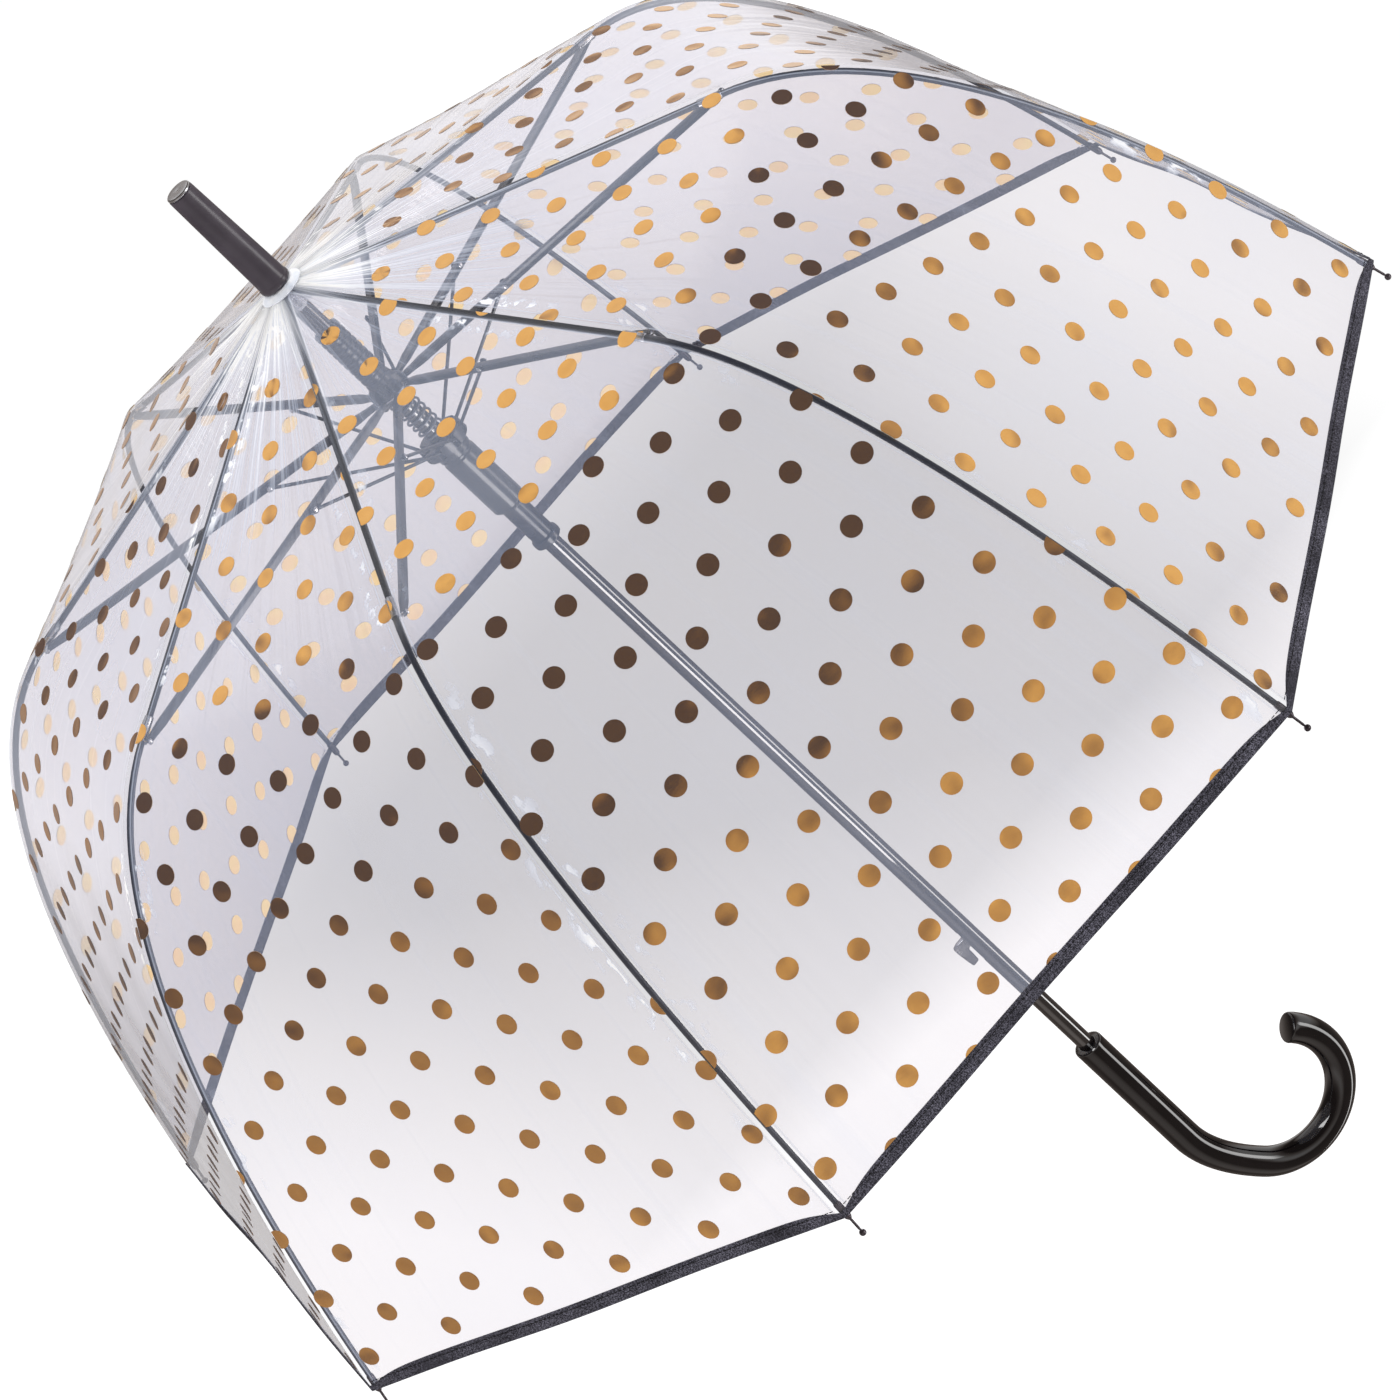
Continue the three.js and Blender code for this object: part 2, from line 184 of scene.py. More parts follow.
def shape(build, *args):
    """The vertices and faces that a function adds to an empty bmesh."""
    work = bmesh.new()
    build(work, *args)
    bmesh.ops.remove_doubles(work, verts=work.verts, dist=1e-6)
    bmesh.ops.recalc_face_normals(work, faces=work.faces)
    work.verts.ensure_lookup_table()
    verts = [v.co.copy() for v in work.verts]
    faces = [[v.index for v in f.verts] for f in work.faces]
    work.free()
    return verts, faces


def add_turned(work, corners, sides):
    """A solid of revolution about a vertical axis, from a closed outline of (radius, height)."""
    rings = []
    for r, z in corners:
        ring = []
        for i in range(sides):
            a = 2 * math.pi * i / sides
            ring.append(work.verts.new((r * math.cos(a), r * math.sin(a), z)))
        rings.append(ring)
    for ring, following in zip(rings, rings[1:] + rings[:1]):
        for i in range(sides):
            j = (i + 1) % sides
            work.faces.new([ring[i], ring[j], following[j], following[i]])


def add_swept(work, path, section, closed=False, scales=None, up=SIDEWAYS):
    """A section of (across, up) points carried along a path, with flat ends unless it is closed."""
    rings = []
    last = len(path) - 1
    for i, point in enumerate(path):
        before = path[i - 1] if closed or i else path[0]
        after = path[0 if i == last else i + 1] if closed else path[min(i + 1, last)]
        along = (after - before).normalized()
        side = up.cross(along).normalized()
        top = along.cross(side)
        size = 1 if scales is None else scales[i]
        rings.append([work.verts.new(point + side * a * size + top * b * size) for a, b in section])
    followed = rings[1:] + rings[:1] if closed else rings[1:]
    for ring, following in zip(rings, followed):
        for i in range(len(section)):
            j = (i + 1) % len(section)
            work.faces.new([ring[i], ring[j], following[j], following[i]])
    if not closed:
        work.faces.new(rings[0][::-1])
        work.faces.new(rings[-1])


def swept(path, section, scales=None, up=SIDEWAYS):
    return shape(add_swept, path, section, False, scales, up)


def circle(radius, sides=16):
    angles = [2 * math.pi * i / sides for i in range(sides)]
    return [(radius * math.cos(a), radius * math.sin(a)) for a in angles]


def grid(rows, wide, closed=False):
    """The faces between rows of points. Closed rows join up round a tube."""
    faces = []
    for i in range(rows - 1):
        for j in range(wide if closed else wide - 1):
            on = (j + 1) % wide
            faces.append([i * wide + j, (i + 1) * wide + j, (i + 1) * wide + on, i * wide + on])
    return faces


def rounded(corners, radius, steps=3):
    """A closed outline with each corner rounded off, by less where its sides are short."""
    most = 0.45
    outline = []
    count = len(corners)
    for i, corner in enumerate(corners):
        here = Vector(corner)
        back = Vector(corners[i - 1]) - here
        on = Vector(corners[(i + 1) % count]) - here
        cut = min(radius, back.length * most, on.length * most)
        start = here + back.normalized() * cut
        end = here + on.normalized() * cut
        for step in range(steps + 1):
            t = step / steps
            outline.append(tuple(start.lerp(here, t).lerp(here.lerp(end, t), t)))
    return outline


def make_at_rib(name, made, material, k, body):
    """A piece from vertices and faces made in the plane of X and Z, turned to rib k and named after it."""
    turn = Matrix.Rotation(FIRST_RIB + 2 * HALF * k, 3, "Z")
    verts = [turn @ Vector(v) for v in made[0]]
    return make(f"{name}_{k + 1}", (verts, made[1]), material, f"{body}_{k + 1}")


def carve(obj, cutters):
    """Cuts closed shapes, each as vertices and faces, out of a piece."""
    verts = []
    faces = []
    for part_verts, part_faces in cutters:
        start = len(verts)
        verts += part_verts
        faces += [[i + start for i in face] for face in part_faces]
    tool = add_object("cutter", mesh_of("cutter", verts, faces))
    cut = obj.modifiers.new("cut", "BOOLEAN")
    cut.object = tool
    cut.solver = "EXACT"
    bpy.context.view_layer.update()
    done = bpy.data.meshes.new_from_object(obj.evaluated_get(bpy.context.evaluated_depsgraph_get()))
    obj.modifiers.remove(cut)
    obj.data = done
    bpy.data.objects.remove(tool)
    sharpen(obj, 30)


def slot_box(azimuth, start, side, width, low, high):
    """A box that cuts a slot through one side of a hub, as vertices and faces."""
    reach = 0.04
    corners = []
    for x in (start, start + reach):
        for y in (side - width / 2, side + width / 2):
            for z in (low, high):
                corners.append(Vector((x, y, z)))
    turn = Matrix.Rotation(azimuth, 3, "Z")
    faces = [[0, 1, 3, 2], [4, 6, 7, 5], [0, 4, 5, 1], [2, 3, 7, 6], [0, 2, 6, 4], [1, 5, 7, 3]]
    return [turn @ c for c in corners], faces


# ---- The canopy's shape ----

def bezier(points, t):
    line = list(points)
    while len(line) > 1:
        line = [a.lerp(b, t) for a, b in zip(line, line[1:])]
    return line[0]


def profile_points():
    """The canopy's line over a rib as (radius, height), from the hole round the shaft to the hem."""
    slope = Vector((math.cos(SLOPE), -math.sin(SLOPE)))
    flare = Vector((math.sin(HEM_FLARE), -math.cos(HEM_FLARE)))
    crown = Vector((CROWN_RADIUS, CROWN_Z))
    start = crown + slope * ((FILM_HOLE - CROWN_RADIUS) / slope.x)
    flex = crown + slope * ((FLEX_RADIUS - CROWN_RADIUS) / slope.x)
    hem = Vector((HEM_RADIUS, HEM_Z))
    bend = [flex, flex + slope * SHOULDER_PULL, hem - flare * SKIRT_PULL, hem]
    straight = [start.lerp(flex, i / STRAIGHT_STEPS) for i in range(STRAIGHT_STEPS)]
    return straight + [bezier(bend, i / CURVE_STEPS) for i in range(CURVE_STEPS + 1)]


PROFILE = profile_points()
LENGTHS = [0.0]
for before, after in zip(PROFILE, PROFILE[1:]):
    LENGTHS.append(LENGTHS[-1] + (after - before).length)
S_FLEX = LENGTHS[STRAIGHT_STEPS]
S_HEM = LENGTHS[-1]


def profile(s):
    """Point and direction on the canopy's line over a rib, at a length from the hole."""
    i = min(max(bisect.bisect_right(LENGTHS, s) - 1, 0), len(PROFILE) - 2)
    share = (s - LENGTHS[i]) / (LENGTHS[i + 1] - LENGTHS[i])
    along = (PROFILE[i + 1] - PROFILE[i]).normalized()
    return PROFILE[i].lerp(PROFILE[i + 1], share), along


def half_width(s):
    return profile(s)[0].x * math.sin(HALF)


def slack(gore, s, x, half):
    """How far the film stands off the straight line between its two ribs, with its ripples and pleats."""
    reach = 0.05                        # of the pleats at the crown and of the waves at the hem
    phase = 1.7 * gore                  # so that no two gores ripple alike
    sag = -FILM_SAG * math.sin(math.pi * min(1.0, s / S_HEM)) ** 0.7
    ripple = 0.00055 * math.sin(34 * s + 19 * x + phase)
    ripple += 0.0003 * math.sin(71 * s - 43 * x + 2 * phase)
    pleat = 0.0007 * math.exp(-s / reach) * math.sin(11 * math.pi * x / half + phase)
    wave = 0.0012 * math.exp((s - S_HEM) / reach) * math.sin(26 * x + 2.1 * phase)
    return (sag + ripple + pleat + wave) * max(0.0, 1 - (x / half) ** 2)


def canopy(gore, s, x, lift=0.0):
    """A point on the film between rib gore and the next, x across from the gore's middle."""
    point, along = profile(s)
    half = point.x * math.sin(HALF)
    outward = Vector((-along.y, along.x * math.cos(HALF))).normalized()
    off = slack(gore, s, x, half) + lift
    out = point.x * math.cos(HALF) + outward.x * off
    height = point.y + outward.y * off
    azimuth = FIRST_RIB + HALF * (2 * gore + 1)
    return Vector((
        out * math.cos(azimuth) - x * math.sin(azimuth),
        out * math.sin(azimuth) + x * math.cos(azimuth),
        height,
    ))


def beside_rib(k, s, u, lift=0.0):
    """A point on the film beside rib k: u is 0 on the rib and 1 or -1 at the middle of a gore."""
    half = half_width(s)
    if u < 0:
        return canopy((k - 1) % RIBS, s, half * (1 + u), lift)
    return canopy(k, s, half * (u - 1), lift)


def gather(obj):
    """Gives the piece a mesh of its own."""
    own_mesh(obj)


# ---- Materials ----

def linear(colour):
    """A colour given as it looks on screen, 0 to 255, as the renderer's own numbers."""
    return tuple((v / 255) ** 2.2 for v in colour) + (1.0,)


def blank_material(name):
    material = bpy.data.materials.new(name)
    material.use_nodes = True
    tree = material.node_tree
    return material, tree, tree.nodes["Principled BSDF"]


def new_material(name, slot):
    """A material of the object, with the record's slot that it stands for."""
    made = blank_material(name)
    made[0]["slot"] = slot
    return made


def feed(made, inputs):
    """Sets a node's inputs to values, or links them to other nodes' outputs."""
    for key, value in inputs.items():
        socket = made.inputs[key]
        if isinstance(value, bpy.types.NodeSocket):
            made.id_data.links.new(value, socket)
        else:
            socket.default_value = value


def node(tree, kind, inputs=None, **settings):
    made = tree.nodes.new(kind)
    for key, value in settings.items():
        setattr(made, key, value)
    feed(made, inputs or {})
    return made


def maths(operation, *values, clamp=False):
    """A sum of numbers, the first of which is another node's output."""
    tree = values[0].id_data
    made = node(tree, "ShaderNodeMath", dict(enumerate(values)), operation=operation, use_clamp=clamp)
    return made.outputs[0]


def vector_maths(operation, *values):
    tree = values[0].id_data
    made = node(tree, "ShaderNodeVectorMath", dict(enumerate(values)), operation=operation)
    return made.outputs["Value" if operation in ("LENGTH", "DOT_PRODUCT") else "Vector"]


def added(first, *others):
    """A total that is kept from 0 to 1 at each step."""
    for other in others:
        first = maths("ADD", first, other, clamp=True)
    return first


def times(first, *others):
    """A product that is kept from 0 to 1 at each step."""
    for other in others:
        first = maths("MULTIPLY", first, other, clamp=True)
    return first


def axes(vector):
    """The outputs X, Y and Z of a vector."""
    return node(vector.id_data, "ShaderNodeSeparateXYZ", {0: vector}).outputs


def coordinate(tree, kind="Object"):
    return node(tree, "ShaderNodeTexCoord").outputs[kind]


def noise_at(place, scale, detail):
    inputs = {"Vector": place, "Scale": scale, "Detail": detail}
    return node(place.id_data, "ShaderNodeTexNoise", inputs).outputs["Fac"]


def noise(tree, scale, detail=3.0, stretch=(1, 1, 1)):
    """A noise in the piece's own space, as the socket of its value."""
    mapping = node(tree, "ShaderNodeMapping", {"Vector": coordinate(tree), "Scale": stretch})
    return noise_at(mapping.outputs["Vector"], scale, detail)


def ramp(value, low, high, start=0.3, end=0.7):
    """Goes from low to high as the value goes from start to end, and no further."""
    inputs = {"Value": value, "From Min": start, "From Max": end, "To Min": low, "To Max": high}
    return node(value.id_data, "ShaderNodeMapRange", inputs).outputs["Result"]


def rise(value, start, end):
    """0 up to start, and 1 from end on."""
    return ramp(value, 0.0, 1.0, start, end)


def fall(value, start, end):
    """1 up to start, and 0 from end on."""
    return ramp(value, 1.0, 0.0, start, end)


def between(value, start, full, fade, end):
    """1 from full to fade, and 0 outside start to end."""
    return times(rise(value, start, full), fall(value, fade, end))


def blend_colours(value, first, second):
    inputs = {"Factor": value, "A": first, "B": second}
    return node(value.id_data, "ShaderNodeMix", inputs, data_type="RGBA").outputs["Result"]


def bump(height, distance, strength=1.0, **under):
    inputs = {"Height": height, "Distance": distance, "Strength": strength, **under}
    return node(height.id_data, "ShaderNodeBump", inputs).outputs["Normal"]


def mix_shaders(tree, share, first, second):
    """The second shader laid over the first by a share."""
    return node(tree, "ShaderNodeMixShader", {0: share, 1: first.outputs[0], 2: second.outputs[0]})


def show(tree, shader):
    feed(tree.nodes["Material Output"], {"Surface": shader.outputs[0]})


def worn(name, slot, dark, light, rough, metallic=0.0, coat=0.0, grain=900, depth=0.00003):
    """A solid finish with slight changes of colour and gloss, and a fine grain."""
    material, tree, shader = new_material(name, slot)
    broad = noise(tree, 60, 4.0)
    fine = noise(tree, grain, 2.0)
    feed(shader, {
        "Base Color": blend_colours(ramp(broad, 0, 1), linear(dark), linear(light)),
        "Roughness": ramp(broad, *rough),
        "Normal": bump(fine, depth),
        "Metallic": metallic,
        "Coat Weight": coat,
        "Coat Roughness": 0.06,
    })
    return material


def from_shaft(tree):
    """How far a point is from the shaft's axis, and the direction in which it lies from it."""
    flat = vector_maths("MULTIPLY", coordinate(tree), (1, 1, 0))
    return vector_maths("LENGTH", flat), vector_maths("NORMALIZE", flat)


def streaks(direction, fineness):
    """Noise in streaks that run from the shaft down to the hem."""
    place = coordinate(direction.id_data)
    return noise_at(vector_maths("MULTIPLY_ADD", direction, (fineness,) * 3, place), 1.0, 4.0)


def crown_glare(far, direction, streaked):
    """White glare on the film: a collar round the crown, and a fan of streaks below it."""
    collar = times(fall(far, *COLLAR), 0.8)
    fan = times(fall(far, *FAN), rise(streaked, 0.45, 0.70))
    side = maths("ABSOLUTE", axes(direction)["X"])
    return times(added(collar, fan), ramp(side, 0.10, 1.0, 0.12, 0.5))


def rib_crease_glints(tree, off):
    """Painted highlights: white glints on the creases in the film beside a rib, and on the lip of its seam,
    by the metres off the rib.
    """
    crinkled = rise(noise(tree, 150, 3.0, (1, 1, 0.35)), 0.53, 0.62)
    stretches = rise(noise(tree, 11, 1.0), 0.50, 0.62)
    return times(between(off, *CREASE_GLINTS), crinkled, stretches), times(between(off, *LIP_HIGHLIGHT), 0.30)


def film_haze(tree):
    """How milky the film is, how much of that is white glare, and 1 off the ribs but 0 over them."""
    haze = ramp(noise(tree, 9), FILM_HAZE * 0.88, FILM_HAZE * 1.12)
    far, direction = from_shaft(tree)
    streaked = streaks(direction, 34.0)
    glare = crown_glare(far, direction, streaked)
    # painted highlights: white streaks that run down the film
    streak_glints = ramp(streaked, 0.0, 0.07, 0.56, 0.74)
    place = node(tree, "ShaderNodeUVMap", uv_map="UVMap").outputs["UV"]
    off = maths("ABSOLUTE", axes(place)["X"])
    off_rib = rise(off, *OVER_RIB)
    # all of this is painted light: glare round the crown, glinting streaks and glints beside the ribs
    white = added(glare, streak_glints, *rib_crease_glints(tree, off))
    milky = times(haze, ramp(off_rib, 0.15, 1.0, 0.0, 1.0))        # less haze over a rib: painted shade of the rib, which blocks the light behind the film
    return added(milky, white), white, off_rib


def film_gloss(tree):
    """Sharp reflections, broken up by ripples that run down the film."""
    ripples = streaks(from_shaft(tree)[1], 16.0)
    inputs = {"Color": (1, 1, 1, 1), "Roughness": 0.10, "Normal": bump(ripples, 0.004, 0.5)}
    return node(tree, "ShaderNodeBsdfAnisotropic", inputs)


def film_material():
    """Clear film: mostly see-through, with a bluish haze, a gloss, and painted white glare and streaks at the
    crown.
    """
    material, tree, shader = new_material("clear_film", "clear_film")
    tree.nodes.remove(shader)
    amount, white, off_rib = film_haze(tree)
    slant = node(tree, "ShaderNodeLayerWeight", {"Blend": 0.5}).outputs["Facing"]
    sheen = times(ramp(slant, 0.0, 0.25, 0.5, 0.95), off_rib)
    seen = blend_colours(off_rib, (0.88, 0.88, 0.90, 1), (0.93, 0.88, 0.86, 1))
    # the haze is painted white where the glare, the glints and the sheen are
    tint = blend_colours(added(white, times(sheen, 2.5)), (0.50, 0.58, 0.78, 1), (1.0, 1.0, 1.0, 1))
    clear = node(tree, "ShaderNodeBsdfTransparent", {"Color": seen})
    lit = node(tree, "ShaderNodeBsdfDiffuse", {"Color": tint})
    through = node(tree, "ShaderNodeBsdfTranslucent", {"Color": tint})
    milky = mix_shaders(tree, 0.7, lit, through)
    body = mix_shaders(tree, added(amount, sheen), clear, milky)
    mirrored = ramp(maths("POWER", slant, 5.0), 0.05, 0.5)
    show(tree, mix_shaders(tree, mirrored, body, film_gloss(tree)))
    return material


def foil_material():
    """Gold foil with fine scratches, under a thin milky film."""
    material, tree, shader = new_material("gold_foil", "gold_dots")
    patches = ramp(noise(tree, 130), 0, 1)
    scratches = noise(tree, 420, 3.0, (1, 6, 0.6))
    waves = bump(noise(tree, 24, 2.0), 0.0045)
    feed(shader, {
        "Base Color": blend_colours(patches, linear((226, 164, 72)), linear((234, 174, 82))),
        "Roughness": ramp(scratches, 0.10, 0.20),
        "Normal": bump(scratches, 0.00001, Normal=waves),
        "Metallic": 1.0,
        "Coat Weight": 0.5,
        "Coat Roughness": 0.3,
    })
    veil = node(tree, "ShaderNodeBsdfDiffuse", {"Color": (0.35, 0.42, 0.62, 1)})
    show(tree, mix_shaders(tree, 0.05, shader, veil))
    return material


def threads(tree, direction):
    """Bands as fine as the tape's threads, across U or V."""
    inputs = {
        "Vector": coordinate(tree, "UV"),
        "Scale": math.pi / 10 / THREAD_PITCH,
        "Distortion": 1.2,
        "Detail Scale": 2.0,
    }
    bands = node(tree, "ShaderNodeTexWave", inputs, wave_type="BANDS", bands_direction=direction)
    return bands.outputs["Fac"]


def tape_material():
    """Black woven tape. U runs along the tape and V across it, in metres."""
    material, tree, shader = new_material("woven_tape", "hem_fabric")
    weave = times(threads(tree, "X"), threads(tree, "Y"), 0.35)
    lint = rise(noise(tree, 1500), 0.44, 0.66)
    shine = ramp(noise(tree, 45, 2.0), 0.35, 1.0)
    speckle = times(added(weave, lint), shine)
    feed(shader, {
        "Base Color": blend_colours(speckle, linear((28, 27, 32)), linear((118, 116, 130))),
        "Normal": bump(speckle, 0.0003, 0.8),
        "Roughness": 0.8,
        "Specular IOR Level": 0.2,
    })
    return material


def clear_moulding():
    """Clear plastic of some thickness, with a white edge."""
    material, tree, shader = new_material("clear_moulding", "clear_plastic")
    cloudy = noise(tree, 220)
    rim = node(tree, "ShaderNodeLayerWeight", {"Blend": 0.35}).outputs["Facing"]
    feed(shader, {
        "Base Color": blend_colours(ramp(cloudy, 0, 1), linear((214, 220, 232)), linear((250, 250, 252))),
        "Alpha": ramp(rim, 0.30, 0.85, 0.1, 0.9),
        "Normal": bump(cloudy, 0.0002),
        "Roughness": 0.12,
    })
    return material


def shaft_material():
    """Black paint under a thick clear lacquer, which mirrors more than most."""
    rough = (0.12, 0.18)
    material = worn("shaft_gloss", "shaft_paint", (20, 18, 20), (30, 27, 28), rough, 0, 0.8, 500, 0.000002)
    feed(material.node_tree.nodes["Principled BSDF"], {"Coat IOR": 2.2})
    return material


FILM = film_material()
FOIL = foil_material()
PRINT = worn("print_backing", "gold_dots", (255, 226, 160), (250, 212, 160), (0.5, 0.7))
TAPE = tape_material()
CLEAR = clear_moulding()
THREAD = worn("black_thread", "hem_fabric", (14, 14, 16), (30, 30, 34), (0.6, 0.8))
RIB_BLACK = worn("rib_black", "rib_black", (26, 26, 30), (40, 40, 46), (0.3, 0.42), 0.3, 0.3)
RIB_GREY = worn("rib_grey", "rib_grey", (40, 42, 50), (60, 63, 74), (0.3, 0.4), 0.4, 0.3)
CHANNEL = worn("channel_paint", "stretcher_black", (24, 25, 30), (40, 42, 50), (0.25, 0.38), 0.4, 0.4)
SHAFT = shaft_material()
HUB = worn("hub_moulded", "hub_plastic", (20, 21, 26), (44, 46, 54), (0.2, 0.34), 0, 0.3)
GRIP = worn("grip_gloss", "handle_gloss", (12, 10, 12), (20, 17, 19), (0.06, 0.09), 0, 0.6, 300, 0.000002)
FERRULE = worn(
    "ferrule_satin", "ferrule_plastic", (48, 43, 50), (60, 55, 62), (0.26, 0.34), 0, 0, 300, 0.000005
)
TIP = worn("tip_steel", "rib_grey", (60, 54, 58), (96, 90, 96), (0.25, 0.4), 0.8)
BRIGHT = worn("bright_steel", "bright_steel", (170, 172, 178), (210, 212, 216), (0.18, 0.32), 1.0)
SPRING = worn("spring_wire", "spring_steel", (90, 92, 98), (130, 132, 140), (0.25, 0.4), 1.0)


# ---- Canopy pieces ----

def rows_between(start, end, count):
    """Evenly spaced numbers, both ends among them."""
    return [start + (end - start) * i / (count - 1) for i in range(count)]


def shares_across(columns):
    """Places from the middle of one gore to the next, -1 to 1, closest together over the rib at 0."""
    return [math.copysign(abs(i / columns) ** 1.6, i) for i in range(-columns, columns + 1)]


def film_piece(k, level, start, end, rows, body):
    """The film on both sides of a rib, out to the middle of each gore."""
    columns = 18
    shares = shares_across(columns)
    verts = []
    uvs = []
    for s in rows_between(start, end, rows):
        verts += [beside_rib(k, s, u) for u in shares]
        uvs += [(u * half_width(s), s) for u in shares]
    piece = make(f"film_{level}_{k + 1}", (verts, grid(rows, len(shares))), FILM, body, uvs)
    over_rib = set(range(columns, len(piece.data.vertices), len(shares)))
    mark_sharp(piece, lambda edge: all(v.index in over_rib for v in edge.verts))
    width = 2 * half_width(end)
    return piece


def clip(outline, room):
    """Cuts an outline to where room, a number for each of its points, isn't negative."""
    kept = []
    for i, here in enumerate(outline):
        before = outline[i - 1]
        if (room(here) >= 0) != (room(before) >= 0):
            t = room(before) / (room(before) - room(here))
            kept.append((before[0] + (here[0] - before[0]) * t, before[1] + (here[1] - before[1]) * t))
        if room(here) >= 0:
            kept.append(here)
    return kept


def printed_part(outline, start, end, side):
    """What a piece of film carries of a dot: one side of the gore's middle, between two lengths."""
    first = max(start, DOT_CROWN)
    last = min(end, S_HEM - TAPE_WIDTH)
    seam = 0.0004
    rooms = (
        lambda p: p[1] * side,
        lambda p: p[0] - first,
        lambda p: last - p[0],
        lambda p: half_width(p[0]) - seam - abs(p[1]),
    )
    for room in rooms:
        outline = clip(outline, room)
    return outline


def dots_in(gore, start, end, side):
    """The dots on one half of a gore, as outlines of (length, across)."""
    turns = (gore - NEAR_GORE + RIBS // 2) % RIBS - RIBS // 2
    shift = DOT_SHIFT + DOT_DRIFT * turns
    found = []
    for row in range(DOT_ROWS):
        s = DOT_FIRST + DOT_DROP * abs(turns) + row * DOT_ALONG / 2
        if s + DOT_RADIUS < start or s - DOT_RADIUS > end:
            continue
        for column in range(-DOT_COLUMNS, DOT_COLUMNS + 1):
            x = shift + (column + 0.5 * (row % 2)) * DOT_ACROSS
            outline = [(s + a, x + b) for a, b in circle(DOT_RADIUS, 24)]
            outline = printed_part(outline, start, end, side)
            if len(outline) > 2 and outline_area(outline) > DOT_LEAST:
                found.append(outline)
    return found


def outline_area(outline):
    """The area of a flat outline, by the shoelace rule."""
    total = 0.0
    for i, p in enumerate(outline):
        q = outline[i - 1]
        total += q[0] * p[1] - p[0] * q[1]
    return abs(total) / 2


def dot_piece(k, level, start, end, body):
    """The gold dots on the film beside a rib, foil outside and pale print inside."""
    verts = []
    faces = []
    printed = []
    for gore, side in (((k - 1) % RIBS, 1), (k, -1)):
        for outline in dots_in(gore, start, end, side):
            count = len(outline)
            centre = (sum(p[0] for p in outline) / count, sum(p[1] for p in outline) / count)
            for lift, layer in ((0.0002, 0), (-0.0001, 1)):
                first = len(verts)
                verts += [canopy(gore, s, x, lift) for s, x in [centre] + outline]
                faces += [[first, first + 1 + i, first + 1 + (i + 1) % count] for i in range(count)]
                printed += [layer] * count
    piece = make(f"dots_{level}_{k + 1}", (verts, faces), FOIL, body)
    piece.data.materials.append(PRINT)
    for face, layer in zip(piece.data.polygons, printed):
        face.material_index = layer
    return piece


def tape_piece(k, body):
    """The hem tape folded over the film's edge, on both sides of a rib."""
    selvage = TAPE_HALF * 1.5           # the thickened edge stands this far off the film
    section = rounded([
        (-TAPE_WIDTH, selvage),
        (-TAPE_WIDTH + 0.0011, selvage),
        (-TAPE_WIDTH + 0.0014, TAPE_HALF),
        (0.0002, TAPE_HALF),
        (0.0002, -TAPE_HALF),
        (-TAPE_WIDTH, -TAPE_HALF),
    ], 0.0003, 2)
    verts = []
    uvs = []
    half = half_width(S_HEM)
    shares = shares_across(22)
    for u in shares:
        pinch = 1 - 0.6 * math.exp(-abs(u * half / 0.014) ** 1.5)      # narrower at the rib's tip
        for a, b in section:
            verts.append(beside_rib(k, S_HEM + a * pinch, u, b))
            uvs.append((u * half, a))
    wide = len(section)
    faces = [[face[0]] + face[:0:-1] for face in grid(len(shares), wide, True)]     # turned outward
    faces.append(list(range(wide))[::-1])
    faces.append(list(range(len(verts) - wide, len(verts))))
    return sharpen(make(f"tape_{k + 1}", (verts, faces), TAPE, body, uvs), 50)


def stitch_piece(k, body):
    """Lock stitches along the tape's upper edge."""
    clear = 0.004                       # of the rib's tip
    s = S_HEM - TAPE_WIDTH + 0.0022
    half = half_width(S_HEM)
    verts = []
    faces = []
    count = int(half / STITCH_PITCH)
    section = circle(0.00022, 6)
    for i in range(-count, count):
        middle = (i + 0.5) * STITCH_PITCH
        if abs(middle) < clear:
            continue
        path = []
        for share, rise in ((-0.5, 0.00004), (-0.25, 0.0002), (0.25, 0.0002), (0.5, 0.00004)):
            path.append(beside_rib(k, s, (middle + share * STITCH_LENGTH) / half, TAPE_HALF + rise))
        part_verts, part_faces = swept(path, section, None, UPWARD)
        faces += [[n + len(verts) for n in face] for face in part_faces]
        verts += part_verts
    return make(f"stitches_{k + 1}", (verts, faces), THREAD, body)


def canopy_round(k):
    """Everything of the canopy that goes with one rib."""
    rib = f"rib_{k + 1}"
    rib_end = f"rib_end_{k + 1}"
    upper = film_piece(k, "upper", 0.0, S_FLEX, 26, rib)
    lower = film_piece(k, "lower", S_FLEX, S_HEM, 40, rib_end)
    upper_dots = dot_piece(k, "upper", 0.0, S_FLEX, rib)
    lower_dots = dot_piece(k, "lower", S_FLEX, S_HEM, rib_end)
    tape = tape_piece(k, rib_end)
    stitches = stitch_piece(k, rib_end)
    for piece in (upper, lower, upper_dots, lower_dots, tape, stitches):
        gather(piece)
    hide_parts(f"gore_{k + 1}")
    if k == 0:
        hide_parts("hem_tape")


# ---- Ribs, stretchers and wires ----

def tube(path, radius, sides=16, scales=None):
    """A round rod along a path, thicker or thinner by the scales."""
    return swept(path, circle(radius, sides), scales)


def rib_line(s):
    """A point on a rib's axis, just under the film."""
    point, along = profile(s)
    return Vector((point.x + along.y * RIB_DROP, 0, point.y - along.x * RIB_DROP))


